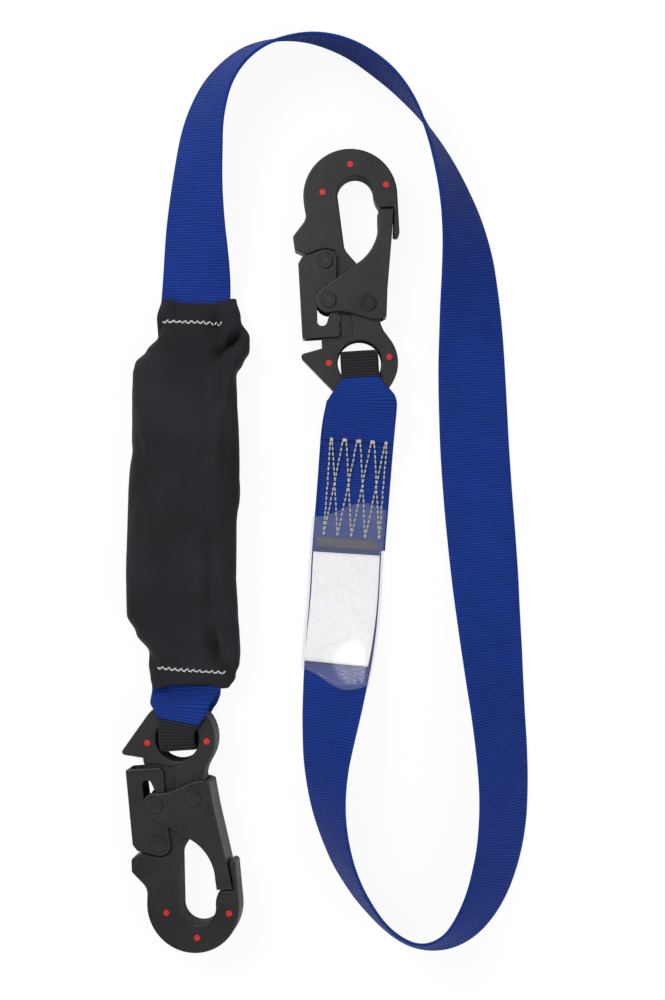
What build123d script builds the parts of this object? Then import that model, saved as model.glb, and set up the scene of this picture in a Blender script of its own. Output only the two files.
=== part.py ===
from build123d import *
import math
import os

# Shock absorbing lanyard, lying on a table: millimetres, +Z up, +Y from the harness hook to the pack.
# The origin is on the underside of the absorber pack, at its middle.

# ---- webbing ----
web_width = 45.0
web_thick = 2.0
half_width = web_width / 2
half_thick = web_thick / 2
sleeve_thick = 0.8

# ---- snap hook, in its own frame: eye centre at the origin, +Y towards the bow, Z through the plate ----
plate_half = 7.5
recess_half = 5.5
eye_hole_radius = 14.0
eye_radius = 24.5
bow_centre = (0.0, 106.4)
bow_radius = 30.0
throat_centre = (3.3, 107.2)
throat_radius = 11.5
edge_round = 1.0

rivet_radius = 3.0
pin_radius = 2.5
running_gap = 0.05
gate_pivot = (7.6, 37.2)
lever_pivot = (-18.3, 66.0)
lock_pin_spot = (-17.6, 40.7)
boss_radius = 8.9
gate_opening = 30.0
lever_press = 9.5

lever_inner = 5.7
lever_outer = 7.7
gate_inner = 7.9
gate_outer = 10.1
gate_wall = 2.2
lever_wall = 2.0
head_height = 1.6
hook_half = gate_outer + head_height

# ---- where the hooks lie ----
hook_1_eye = (-2.2, -153.9)
hook_1_turn = 5.4
hook_1_roll = 8.0
hook_1_height = 14.7
hook_2_eye = (112.7, 85.2)
hook_2_turn = 3.2

# ---- absorber pack ----
pack_width = 70.0
pack_height = 30.0
pack_straight = 160.0
pack_top = 127.0
pack_bottom = -119.0
cover_wall = 1.6
mouth_width = 50.0
mouth_height = 13.0
strap_mouth_x = 7.5
hook_mouth_x = -1.5

# ---- route of the strap's centre line, from the pack to hook 2 ----
# x, y, lift of the lower edge above the table, and roll: how far the inner edge is turned up, in degrees
route = [
    (5.5, 103.0, 6.0, 0.0),
    (7.5, 125.0, 4.5, 3.0),
    (8.0, 148.0, 2.5, 15.0),
    (7.5, 180.0, 0.6, 33.0),
    (9.5, 210.0, 0.6, 43.0),
    (13.0, 240.0, 0.6, 51.0),
    (23.5, 267.0, 0.6, 60.0),
    (44.0, 286.0, 0.6, 67.0),
    (74.0, 292.5, 0.6, 76.0),
    (103.0, 286.0, 0.6, 87.0),
    (127.0, 270.5, 0.6, 91.0),
    (146.0, 251.0, 0.6, 86.0),
    (160.5, 226.0, 0.6, 74.0),
    (173.0, 195.0, 0.6, 60.0),
    (181.5, 160.0, 0.6, 43.0),
    (184.0, 120.0, 0.6, 26.0),
    (185.5, 75.0, 0.6, 9.0),
    (188.0, 20.0, 0.6, 1.0),
    (192.5, -35.0, 0.6, 6.0),
    (196.5, -85.0, 0.6, 22.0),
    (201.0, -133.0, 0.6, 35.0),
    (205.0, -175.0, 0.6, 40.0),
    (204.5, -212.0, 0.6, 42.0),
    (197.5, -246.0, 0.6, 46.0),
    (184.0, -271.5, 0.6, 53.0),
    (168.0, -284.0, 0.6, 62.0),
    (148.0, -286.0, 0.6, 72.0),
    (129.5, -275.0, 0.6, 77.0),
    (112.5, -254.0, 0.6, 75.0),
    (100.0, -230.0, 0.6, 70.0),
    (93.0, -203.0, 0.6, 63.0),
    (90.5, -176.0, 0.6, 54.0),
    (93.0, -150.0, 1.1, 42.0),
    (96.5, -124.0, 1.1, 28.0),
    (100.0, -97.0, 1.1, 12.0),
    (103.0, -68.0, 1.1, 0.0),
    (104.5, -35.0, 1.1, 0.0),
    (107.5, 0.0, 1.1, 0.0),
    (110.0, 36.0, 1.1, 0.0),
]
section_step = 14.0
arc_share = 0.45

# stretches of the strap, as section steps back from its end at hook 2
tail_steps = (5, 0)
pocket_steps = (11, 3)
card_steps = (10, 5)
pocket_wall = 0.4
card_thick = 0.4
card_width = 43.0
layer_gap = 0.1

os.makedirs("parts", exist_ok=True)


def save(part, name):
    """Label a finished piece and write it."""
    part.label = name
    export_step(part, f"parts/{name}.step")


def nearest(shape, spots):
    """Vertices of a flat shape that lie nearest the given spots."""
    return [min(shape.vertices(), key=lambda v: math.hypot(v.X - x, v.Y - y)) for x, y in spots]


def turned(spot, centre, degrees):
    """A spot turned about a centre."""
    angle = math.radians(degrees)
    dx = spot[0] - centre[0]
    dy = spot[1] - centre[1]
    return (
        centre[0] + dx * math.cos(angle) - dy * math.sin(angle),
        centre[1] + dx * math.sin(angle) + dy * math.cos(angle),
    )


def around(centre, radius, degrees):
    """A spot on a circle."""
    angle = math.radians(degrees)
    return (centre[0] + radius * math.cos(angle), centre[1] + radius * math.sin(angle))


def tangent_spot(spot, centre, radius, side):
    """Where a line from a spot touches a circle, on one side or the other."""
    dx = spot[0] - centre[0]
    dy = spot[1] - centre[1]
    reach = math.degrees(math.acos(radius / math.hypot(dx, dy)))
    return around(centre, radius, math.degrees(math.atan2(dy, dx)) + side * reach)


# ---------------------------------------------------------------------------
# Snap hook: forged plate with an open bow, an eye for the webbing, a gate and
# a back lever that locks it. The gate's pin runs in a slot in the lever.
# ---------------------------------------------------------------------------
beak_tip = (-38.6, 7.0)
neck_corner = (16.4, 19.6)
waist_corner = (14.6, 24.4)
crotch = (1.8, 62.8)
nose_corner = (18.2, 97.6)
lip_inner = (25.9, 79.4)
lip_outer = (30.0, 79.4)
shank_corner = (-28.6, 93.5)
eye_tangent = tangent_spot(beak_tip, (0, 0), eye_radius, 1)
eye_right = tangent_spot(neck_corner, (0, 0), eye_radius, -1)
boss_low = tangent_spot(waist_corner, gate_pivot, boss_radius, 1)
boss_mid = around(gate_pivot, boss_radius, 10.0)
boss_high = tangent_spot(crotch, gate_pivot, boss_radius, -1)
throat_left = (throat_centre[0] - throat_radius, throat_centre[1])
throat_top = (throat_centre[0], throat_centre[1] + throat_radius)
throat_right = (throat_centre[0] + throat_radius, throat_centre[1])
bow_right = (bow_centre[0] + bow_radius, bow_centre[1])
bow_top = (bow_centre[0], bow_centre[1] + bow_radius)
bow_left = tangent_spot(shank_corner, bow_centre, bow_radius, -1)

with BuildSketch() as hook_outline:
    with BuildLine():
        ThreePointArc(bow_right, bow_top, bow_left)
        Polyline(
            bow_left,
            shank_corner,
            (-38.0, 82.5),
            (-37.4, 74.2),
            (-30.0, 70.6),
            (-26.5, 66.0),
            (-26.5, 59.0),
            (-11.0, 52.0),
            (-11.0, 21.5),
            (-23.5, 20.0),
            (-23.5, 10.4),
            beak_tip,
            eye_tangent,
        )
        ThreePointArc(eye_tangent, (0, -eye_radius), eye_right)
        Polyline(eye_right, neck_corner, waist_corner, boss_low)
        ThreePointArc(boss_low, boss_mid, boss_high)
        Polyline(boss_high, crotch, (-5.6, 72.2), throat_left)
        ThreePointArc(throat_left, throat_top, throat_right)
        TangentArc(throat_right, nose_corner, tangent=(0, -1))
        Polyline(nose_corner, (27.3, 97.6), lip_inner, lip_outer, bow_right)
    make_face()
    fillet(nearest(hook_outline, [shank_corner, (-5.6, 72.2)]), 9.0)
    fillet(nearest(hook_outline, [(-38.0, 82.5), (-37.4, 74.2)]), 2.5)
    fillet(nearest(hook_outline, [(-26.5, 59.0), (-11.0, 52.0), crotch, beak_tip]), 2.0)
    fillet(nearest(hook_outline, [neck_corner]), 5.0)
    fillet(nearest(hook_outline, [waist_corner]), 3.0)
    fillet(nearest(hook_outline, [lip_outer]), 2.2)
    fillet(nearest(hook_outline, [lip_inner, nose_corner]), 1.4)
    Circle(eye_hole_radius, mode=Mode.SUBTRACT)

with BuildPart() as hook_blank:
    add(hook_outline.sketch)
    extrude(amount=plate_half, both=True)
    flat_faces = hook_blank.faces().filter_by(Axis.Z)
    fillet(flat_faces.edges(), edge_round)

# The bow's nylon jacket ends at a parting line across the shank and another across the nose.
parting = [(-40, 101.6), (3.3, 105.1), (3.3, 105.7), (40, 105.9), (40, 145), (-40, 145)]
core_half = 4.9
core_inset = 2.6

with BuildPart() as bow_block:
    with BuildSketch():
        with BuildLine():
            Polyline(*parting, close=True)
        make_face()
    extrude(amount=2 * plate_half, both=True)

with BuildPart() as bow_core:
    with BuildSketch():
        with Locations(bow_centre):
            Circle(bow_radius - core_inset)
        with Locations(throat_centre):
            Circle(throat_radius + core_inset, mode=Mode.SUBTRACT)
    extrude(amount=core_half, both=True)
    add(bow_block.part, mode=Mode.INTERSECT)

plug_spots = [(0.9, 126.4), (23.0, 112.2), (-17.6, 109.6), (-19.6, 0.9), (19.0, 2.6)]
plug_radius = 1.9
plug_depth = 2.2

with BuildPart() as hook_plugs:
    for side in (1, -1):
        with BuildSketch(Plane.XY.offset(side * plate_half)):
            with Locations(*plug_spots):
                Circle(plug_radius)
        extrude(amount=-side * plug_depth)

with BuildPart() as bow_jacket:
    add(hook_blank.part)
    add(bow_block.part, mode=Mode.INTERSECT)
    add(bow_core.part, mode=Mode.SUBTRACT)
    add(hook_plugs.part, mode=Mode.SUBTRACT)

# Flats milled into both faces, where the lever's side plates slide.
recess = [
    (-42.0, 60.0),
    (-34.0, 68.6),
    (-30.0, 70.8),
    (-23.5, 73.2),
    (-17.0, 74.2),
    (-11.5, 72.5),
    (-8.4, 68.5),
    (-8.4, 57.0),
    (-2.4, 22.0),
    (-3.2, 16.6),
    (-24.0, 13.0),
    (-42.0, 13.0),
]
gate_spring_radius = 4.9
gate_spring_wire = 1.2
gate_spring_turn = -25.0
gate_pocket_radius = 6.4
gate_pocket_floor = 2.3
lever_spring_radius = 4.2
lever_spring_wire = 1.0
lever_spring_turn = 125.0
lever_pocket_radius = 5.4
lever_pocket_floor = 0.6
leg_slot = 2.4
leg_slot_length = 20.0
leg_slot_middle = 4.0


def leg_plane(pivot, radius, turn, height):
    """Plane at a spring's leg: its X runs along the leg towards the moving plate."""
    start = around(pivot, radius, turn)
    along = around((0, 0), 1.0, turn + 90.0)
    return Plane(origin=(start[0], start[1], height), x_dir=(along[0], along[1], 0), z_dir=(0, 0, 1))


with BuildPart() as hook_body:
    add(hook_blank.part)
    add(bow_block.part, mode=Mode.SUBTRACT)
    add(bow_core.part)
    for side in (1, -1):
        with BuildSketch(Plane.XY.offset(side * recess_half)):
            with BuildLine():
                Polyline(*recess, close=True)
            make_face()
        extrude(amount=side * plate_half, mode=Mode.SUBTRACT)
    with BuildSketch(Plane.XY.offset(-plate_half)):
        with Locations(gate_pivot, lever_pivot):
            Circle(rivet_radius)
    extrude(amount=2 * plate_half, mode=Mode.SUBTRACT)
    with BuildSketch(Plane.XY.offset(gate_pocket_floor)):
        with Locations(gate_pivot):
            Circle(gate_pocket_radius)
    extrude(amount=plate_half, mode=Mode.SUBTRACT)
    with BuildSketch(Plane.XY.offset(lever_pocket_floor)):
        with Locations(lever_pivot):
            Circle(lever_pocket_radius)
    extrude(amount=plate_half, mode=Mode.SUBTRACT)
    with BuildSketch(leg_plane(gate_pivot, gate_spring_radius, gate_spring_turn, gate_pocket_floor)):
        with Locations((leg_slot_middle, 0.0)):
            Rectangle(leg_slot_length, leg_slot)
    extrude(amount=plate_half, mode=Mode.SUBTRACT)
    with BuildSketch(leg_plane(lever_pivot, lever_spring_radius, lever_spring_turn, lever_pocket_floor)):
        with Locations((leg_slot_middle, 0.0)):
            Rectangle(leg_slot_length, leg_slot)
    extrude(amount=plate_half, mode=Mode.SUBTRACT)
    add(hook_plugs.part, mode=Mode.SUBTRACT)

gate_ear_radius = 8.3
ear_left = around(lock_pin_spot, gate_ear_radius, 195.0)
ear_top = around(lock_pin_spot, gate_ear_radius, 135.0)
ear_mid = around(lock_pin_spot, gate_ear_radius, 165.0)
ear_low = around(lock_pin_spot, gate_ear_radius, 262.0)
ear_corner = around(lock_pin_spot, gate_ear_radius, 228.0)
gate_edge = [(18.7, 28.6), (20.2, 45.4), (25.0, 80.0), (27.0, 96.4)]

with BuildPart() as gate:
    with BuildSketch() as gate_outline:
        with BuildLine():
            Polyline(*gate_edge, (17.0, 96.4), (16.6, 90.0))
            Spline((16.6, 90.0), (14.9, 78.6), (10.6, 70.6), (1.8, 62.8))
            Polyline((1.8, 62.8), ear_top)
            ThreePointArc(ear_top, ear_mid, ear_left)
            ThreePointArc(ear_left, ear_corner, ear_low)
            Spline(ear_low, (-3.6, 31.4), (2.6, 29.2), (9.8, 27.0), (18.7, 28.6))
        make_face()
    extrude(amount=gate_outer, both=True)
    fillet(gate.faces().filter_by(Axis.Z).edges(), 0.8)
    with BuildSketch():
        with BuildLine():
            Polyline(
                (gate_edge[0][0] - gate_wall, 10.0),
                (gate_edge[0][0] - gate_wall, gate_edge[0][1]),
                (gate_edge[1][0] - gate_wall, gate_edge[1][1]),
                (gate_edge[2][0] - gate_wall, gate_edge[2][1]),
                (gate_edge[3][0] - gate_wall, 94.6),
                (40.0, 94.6),
                (40.0, 110.0),
                (-40.0, 110.0),
                (-40.0, 10.0),
                close=True,
            )
        make_face()
    extrude(amount=gate_inner, both=True, mode=Mode.SUBTRACT)
    with BuildSketch(Plane.XY.offset(-gate_outer)):
        with Locations(gate_pivot):
            Circle(rivet_radius + running_gap)
        with Locations(lock_pin_spot):
            Circle(pin_radius)
    extrude(amount=2 * gate_outer, mode=Mode.SUBTRACT)

# The lever's slot lets the pin run down only once the lever is pressed in.
slot_radius = pin_radius + 0.7
pin_pressed = turned(lock_pin_spot, lever_pivot, -lever_press)
pin_open = turned(turned(lock_pin_spot, gate_pivot, gate_opening), lever_pivot, -lever_press)
lever_back = -35.6

with BuildPart() as lever:
    with BuildSketch() as lever_outline:
        with BuildLine():
            Polyline((lever_back, 65.2), (-32.8, 69.3), (-22.4, 72.3))
            ThreePointArc((-22.4, 72.3), (-15.2, 72.7), (-10.8, 68.6))
            Polyline((-10.8, 68.6), (-11.4, 54.6), (-11.1, 19.2), (-13.1, 17.2), (lever_back, 17.2))
            Polyline((lever_back, 17.2), (lever_back, 65.2))
        make_face()
    extrude(amount=lever_outer, both=True)
    fillet(lever.edges().filter_by(Axis.Z).sort_by(Axis.X)[:2], 1.2)
    fillet(lever.faces().filter_by(Axis.Z).edges(), 0.7)
    with BuildSketch():
        with Locations((lever_back + lever_wall, 0.0)):
            Rectangle(40.0, 90.0, align=(Align.MIN, Align.MIN))
    extrude(amount=lever_inner, both=True, mode=Mode.SUBTRACT)
    with BuildSketch(Plane.XY.offset(-lever_outer)):
        with Locations(lock_pin_spot, pin_pressed, pin_open):
            Circle(slot_radius)
        make_hull()
        with Locations(lever_pivot):
            Circle(rivet_radius + running_gap)
    extrude(amount=2 * lever_outer, mode=Mode.SUBTRACT)

head_radius = 4.9
dish_radius = 2.6
dish_depth = 0.5


def rivet_profile(shank_radius, grip_half):
    """Half section of a two-headed rivet, in the XZ plane."""
    top = grip_half + head_height
    return [
        (0.0, -top + dish_depth),
        (dish_radius, -top + dish_depth),
        (dish_radius + 0.5, -top),
        (head_radius - 0.7, -top),
        (head_radius, -top + 0.7),
        (head_radius, -grip_half),
        (shank_radius, -grip_half),
        (shank_radius, grip_half),
        (head_radius, grip_half),
        (head_radius, top - 0.7),
        (head_radius - 0.7, top),
        (dish_radius + 0.5, top),
        (dish_radius, top - dish_depth),
        (0.0, top - dish_depth),
    ]


def rivet_plane(spot):
    """Plane through a rivet's axis."""
    return Plane(origin=(spot[0], spot[1], 0), x_dir=(1, 0, 0), z_dir=(0, -1, 0))


with BuildPart() as gate_rivet:
    with BuildSketch(rivet_plane(gate_pivot)):
        with BuildLine():
            Polyline(*rivet_profile(rivet_radius, gate_outer), close=True)
        make_face()
    revolve(axis=Axis((*gate_pivot, 0), (0, 0, 1)))

with BuildPart() as lock_pin:
    with BuildSketch(rivet_plane(lock_pin_spot)):
        with BuildLine():
            Polyline(*rivet_profile(pin_radius, gate_outer), close=True)
        make_face()
    revolve(axis=Axis((*lock_pin_spot, 0), (0, 0, 1)))

with BuildPart() as lever_rivet:
    with BuildSketch(rivet_plane(lever_pivot)):
        with BuildLine():
            Polyline(*rivet_profile(rivet_radius, lever_outer), close=True)
        make_face()
    revolve(axis=Axis((*lever_pivot, 0), (0, 0, 1)))


def spring_wire(pivot, radius, turn, low, pitch, turns, fixed_leg, moving_leg):
    """Centre line of a torsion spring: a short fixed leg, the coil, and a leg to the moving plate."""
    with BuildLine() as wire:
        coil = Helix(pitch, pitch * turns, radius)
        Line(coil @ 0 - (coil % 0) * fixed_leg, coil @ 0)
        Line(coil @ 1, coil @ 1 + (coil % 1) * moving_leg)
    return wire.line.moved(Location((*pivot, low), (0, 0, turn)))


coil_turns = 3
gate_coil = spring_wire(gate_pivot, gate_spring_radius, gate_spring_turn, 3.2, 1.25, coil_turns, 5.0, 7.0)
lever_coil = spring_wire(lever_pivot, lever_spring_radius, lever_spring_turn, 1.4, 1.1, coil_turns, 4.0, 13.0)

with BuildPart() as gate_spring:
    with BuildSketch(Plane(origin=gate_coil @ 0, z_dir=gate_coil % 0)):
        Circle(gate_spring_wire / 2)
    sweep(path=gate_coil, is_frenet=True)

with BuildPart() as lever_spring:
    with BuildSketch(Plane(origin=lever_coil @ 0, z_dir=lever_coil % 0)):
        Circle(lever_spring_wire / 2)
    sweep(path=lever_coil, is_frenet=True)

# ---------------------------------------------------------------------------
# Webbing loops through the eyes. Each is a band bent round the eye's rim and
# narrowed to pass the hole, with a protective sleeve where it bears on steel.
# ---------------------------------------------------------------------------
leg_height = plate_half + 0.2 + sleeve_thick + half_thick
bend_centre = -5.0
sleeve_start = -10.5
loop_end = -44.0
hook_1_loop_end = -31.5
strap_drop = hook_half - 0.6 - half_thick
loop_half = 11.2
sleeve_half = 12.2
bend_out = (bend_centre + leg_height, 0.0)

with BuildPart() as loop_plan:
    with BuildSketch():
        with BuildLine():
            Polyline(
                (-half_width, loop_end - 10),
                (-half_width, -27.0),
                (-17.3, -17.5),
                (-13.4, -11.0),
                (-loop_half, -6.0),
                (-loop_half, 12.0),
                (loop_half, 12.0),
                (loop_half, -6.0),
                (13.4, -11.0),
                (17.3, -17.5),
                (half_width, -27.0),
                (half_width, loop_end - 10),
                close=True,
            )
        make_face()
    extrude(amount=20.0, both=True)

with BuildPart() as hook_2_loop:
    with BuildSketch(Plane.YZ):
        with BuildLine() as strand:
            Polyline((loop_end, -strap_drop), (-27.0, -leg_height), (bend_centre, -leg_height))
            ThreePointArc((bend_centre, -leg_height), bend_out, (bend_centre, leg_height))
            Polyline(
                (bend_centre, leg_height), (-25.0, leg_height), (loop_end, -strap_drop + web_thick + layer_gap)
            )
        trace(line_width=web_thick)
    extrude(amount=half_width, both=True)
    add(loop_plan.part, mode=Mode.INTERSECT)

with BuildPart() as hook_1_loop:
    with BuildSketch(Plane.YZ):
        with BuildLine() as strand:
            Polyline((hook_1_loop_end, -2.6), (-27.5, -leg_height), (bend_centre, -leg_height))
            ThreePointArc((bend_centre, -leg_height), bend_out, (bend_centre, leg_height))
            Polyline((bend_centre, leg_height), (-27.5, leg_height), (hook_1_loop_end, 2.6))
        trace(line_width=web_thick)
    extrude(amount=half_width, both=True)
    add(loop_plan.part, mode=Mode.INTERSECT)

with BuildPart() as wear_sleeve:
    with BuildSketch(Plane.YZ):
        with BuildLine() as strand:
            Line((sleeve_start, -leg_height), (bend_centre, -leg_height))
            ThreePointArc((bend_centre, -leg_height), bend_out, (bend_centre, leg_height))
            Line((bend_centre, leg_height), (sleeve_start, leg_height))
        trace(line_width=web_thick + 2 * sleeve_thick)
    extrude(amount=sleeve_half, both=True)
    add(hook_2_loop.part, mode=Mode.SUBTRACT)

# ---- the two hooks in place: hook 1 is turned over, so it shows its other face ----
place_1 = Location((*hook_1_eye, hook_1_height), (0, 0, hook_1_turn)) * Location(
    (0, 0, 0), (180, hook_1_roll, 0)
)
place_2 = Location((*hook_2_eye, hook_half), (0, 0, hook_2_turn))
shared_pieces = {
    "body": hook_body.part,
    "bow_jacket": bow_jacket.part,
    "plugs": hook_plugs.part,
    "gate": gate.part,
    "lever": lever.part,
    "gate_rivet": gate_rivet.part,
    "lock_pin": lock_pin.part,
    "lever_rivet": lever_rivet.part,
    "gate_spring": gate_spring.part,
    "lever_spring": lever_spring.part,
    "wear_sleeve": wear_sleeve.part,
}
for name, piece in shared_pieces.items():
    save(piece.moved(place_1), f"hook_1_{name}")
    save(piece.moved(place_2), f"hook_2_{name}")
save(hook_1_loop.part.moved(place_1), "hook_1_loop")
save(hook_2_loop.part.moved(place_2), "hook_2_loop")

# ---------------------------------------------------------------------------
# Absorber pack: a fabric cover over a folded tear web and a folded backup web.
# ---------------------------------------------------------------------------
pack_side = pack_straight / 2
mouth_middle = mouth_height / 2 + 1.0


def end_face(x, y, width, height, middle, corner):
    """Rounded rectangle across the pack."""
    with BuildSketch(Plane(origin=(x, y, middle), x_dir=(1, 0, 0), z_dir=(0, -1, 0))) as face:
        RectangleRounded(width, height, corner)
    return face.sketch


def pack_sections(inset):
    """The pack's cross sections, from the harness end to the strap end."""
    wide = (pack_width - 2 * inset, pack_height - 2 * inset, pack_height / 2, 11.0 - inset)
    mouth = (mouth_width - 2 * inset, mouth_height - 2 * inset, mouth_middle, 5.5 - inset)
    return wide, mouth


def fill_pack(inset):
    """Add the pack's three lengths to the part in hand: a straight middle and two tapered ends."""
    wide, mouth = pack_sections(inset)
    add(end_face(0.0, pack_side, *wide))
    extrude(amount=pack_straight, dir=(0, -1, 0))
    for x, end, side in ((strap_mouth_x, pack_top, pack_side), (hook_mouth_x, pack_bottom, -pack_side)):
        loft([end_face(0.0, side, *wide).faces()[0], end_face(x, end, *mouth).faces()[0]], ruled=True)


with BuildPart() as pack_room:
    fill_pack(cover_wall)

with BuildPart() as pack_cover:
    fill_pack(0.0)
    add(pack_room.part, mode=Mode.SUBTRACT)

tear_layers = 5
tear_pitch = 2.3
tear_half = 66.0
tear_low = 4.0
backup_layers = 3
backup_low = tear_low + tear_layers * tear_pitch + 1.0


def folded(layers, low, half_length, pitch, lead):
    """Centre line of webbing folded back and forth, as points along Y and Z."""
    points = [lead]
    for layer in range(layers):
        height = low + layer * pitch
        start = -half_length if layer % 2 == 0 else half_length
        points.append((start, height))
        points.append((-start, height))
    return points


with BuildPart() as tear_web:
    with BuildSketch(Plane.YZ):
        with BuildLine() as strand:
            Polyline(*folded(tear_layers, tear_low, tear_half, tear_pitch, (pack_bottom + 7.0, 7.5)))
            Line((tear_half, tear_low + (tear_layers - 1) * tear_pitch), (pack_top - 27.0, 9.0))
        trace(line_width=web_thick)
    extrude(amount=half_width, both=True)

with BuildPart() as backup_web:
    with BuildSketch(Plane.YZ):
        with BuildLine() as strand:
            Polyline(*folded(backup_layers, backup_low, tear_half, tear_pitch, (-tear_half + 4, backup_low))[1:])
        trace(line_width=web_thick)
    extrude(amount=half_width - 2.0, both=True)

# ---------------------------------------------------------------------------
# Strap and what is sewn on it: sections set square to the route, each turned
# by the roll there, with the lower edge on the table.
# ---------------------------------------------------------------------------
runs = [math.dist(a[:2], b[:2]) for a, b in zip(route, route[1:])]
stations = [sum(runs[:i]) / sum(runs) for i in range(len(route))]
corner_radii = []
for i in range(1, len(route) - 1):
    before = Vector(*route[i][:2]) - Vector(*route[i - 1][:2])
    after = Vector(*route[i + 1][:2]) - Vector(*route[i][:2])
    half_turn = math.radians(before.get_angle(after)) / 2
    corner_radii.append(arc_share * min(runs[i - 1], runs[i]) / math.tan(half_turn))
print("strap radii, mm:", [round(radius) for radius in corner_radii])

with BuildLine() as strap_runs:
    FilletPolyline(*[spot[:2] for spot in route], radius=corner_radii)
strap_path = strap_runs.wires()[0]
strap_length = strap_path.length


def blended(column, fraction):
    """A route value, lift or roll, part of the way along."""
    for i in range(len(stations) - 1):
        if fraction <= stations[i + 1]:
            share = (fraction - stations[i]) / (stations[i + 1] - stations[i])
            return route[i][column] + share * (route[i + 1][column] - route[i][column])
    return route[-1][column]


def section_plane(distance, rise):
    """Plane across the strap, its origin raised off the strap's middle by rise."""
    fraction = distance / strap_length
    roll = math.radians(blended(3, fraction))
    along = strap_path % fraction
    inward = Vector(along.Y, -along.X, 0)
    up = Vector(0, 0, 1)
    across = inward * math.cos(roll) + up * math.sin(roll)
    normal = up * math.cos(roll) - inward * math.sin(roll)
    height = blended(2, fraction) + half_width * math.sin(roll) + half_thick * math.cos(roll)
    middle = strap_path @ fraction + up * height + normal * rise
    return Plane(origin=middle, x_dir=across, z_dir=along)


def ribbon_faces(steps, width, thick, rise):
    """Sections of a flat piece that follows the strap, from one step to another."""
    faces = []
    for step in range(steps[0], steps[1] - 1, -1):
        distance = max(0.0, strap_length - step * section_step)
        with BuildSketch(section_plane(distance, rise)) as section:
            Rectangle(width, thick)
        faces.append(section.sketch.faces()[0])
    return faces


strap_steps = (math.ceil(strap_length / section_step), 0)
with BuildPart() as main_strap:
    loft(ribbon_faces(strap_steps, web_width, web_thick, 0.0), ruled=True)

tail_rise = web_thick + layer_gap
with BuildPart() as strap_tail:
    loft(ribbon_faces(tail_steps, web_width, web_thick, tail_rise), ruled=True)

card_rise = tail_rise + half_thick + layer_gap + card_thick / 2
with BuildPart() as label_card:
    loft(ribbon_faces(card_steps, card_width, card_thick, card_rise), ruled=True)

pocket_top = card_rise + card_thick / 2 + layer_gap
pocket_low = -half_thick - layer_gap
room_width = web_width + 1.0
room_height = pocket_top - pocket_low
room_rise = (pocket_top + pocket_low) / 2
wall_both = 2 * pocket_wall
with BuildPart() as pocket_room:
    loft(ribbon_faces(pocket_steps, room_width, room_height, room_rise), ruled=True)
with BuildPart() as label_pocket:
    loft(ribbon_faces(pocket_steps, room_width + wall_both, room_height + wall_both, room_rise), ruled=True)
    add(pocket_room.part, mode=Mode.SUBTRACT)

save(pack_cover.part, "pack_cover")
save(tear_web.part, "tear_web")
save(backup_web.part, "backup_web")
save(main_strap.part, "main_strap")
save(strap_tail.part, "strap_tail")
save(label_card.part, "label_card")
save(label_pocket.part, "label_pocket")

section_volume = web_width * web_thick * strap_length
print("strap length, mm:", round(strap_length, 1))
print("strap volume over section times length:", round(main_strap.part.volume / section_volume, 4))
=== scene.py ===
import math
import random

import bmesh
import bpy
from mathutils import Matrix, Vector, noise


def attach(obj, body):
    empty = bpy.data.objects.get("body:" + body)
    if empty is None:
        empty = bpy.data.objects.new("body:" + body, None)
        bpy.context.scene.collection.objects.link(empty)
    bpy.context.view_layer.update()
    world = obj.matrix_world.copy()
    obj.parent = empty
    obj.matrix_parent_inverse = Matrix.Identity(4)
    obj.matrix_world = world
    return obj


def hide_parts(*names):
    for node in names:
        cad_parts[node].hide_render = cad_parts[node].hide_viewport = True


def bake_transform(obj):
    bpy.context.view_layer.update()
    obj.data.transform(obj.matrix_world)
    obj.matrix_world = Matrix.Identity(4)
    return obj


# Shock absorbing lanyard, laid out on a white table. Metres, +Z up, +Y along the absorber pack.
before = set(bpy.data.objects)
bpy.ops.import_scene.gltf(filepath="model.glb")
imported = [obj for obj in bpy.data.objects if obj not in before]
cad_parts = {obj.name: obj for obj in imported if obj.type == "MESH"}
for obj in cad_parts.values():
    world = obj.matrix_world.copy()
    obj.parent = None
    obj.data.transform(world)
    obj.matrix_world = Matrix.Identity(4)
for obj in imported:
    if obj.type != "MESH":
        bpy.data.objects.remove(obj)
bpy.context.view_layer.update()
random.seed(7)

# ---- webbing ----
WEB_WIDTH = 0.045
WEB_THICK = 0.002
HALF_WIDTH = WEB_WIDTH / 2
HALF_THICK = WEB_THICK / 2
LAYER_GAP = 0.0002
SLEEVE_WALL = 0.0008
RIB_PITCH = 0.0018
YARN_PITCH = 0.0011

# ---- the hooks: where their eyes are, how they are turned on the table ----
HOOK_PLACES = {
    1: Matrix.Translation((-0.0022, -0.1539, 0.0147))
    @ Matrix.Rotation(math.radians(5.4), 4, "Z")
    @ Matrix.Rotation(math.radians(180.0), 4, "X")
    @ Matrix.Rotation(math.radians(8.0), 4, "Y"),
    2: Matrix.Translation((0.1127, 0.0852, 0.0117)) @ Matrix.Rotation(math.radians(3.2), 4, "Z"),
}
LEG_HEIGHT = 0.0095

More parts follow.
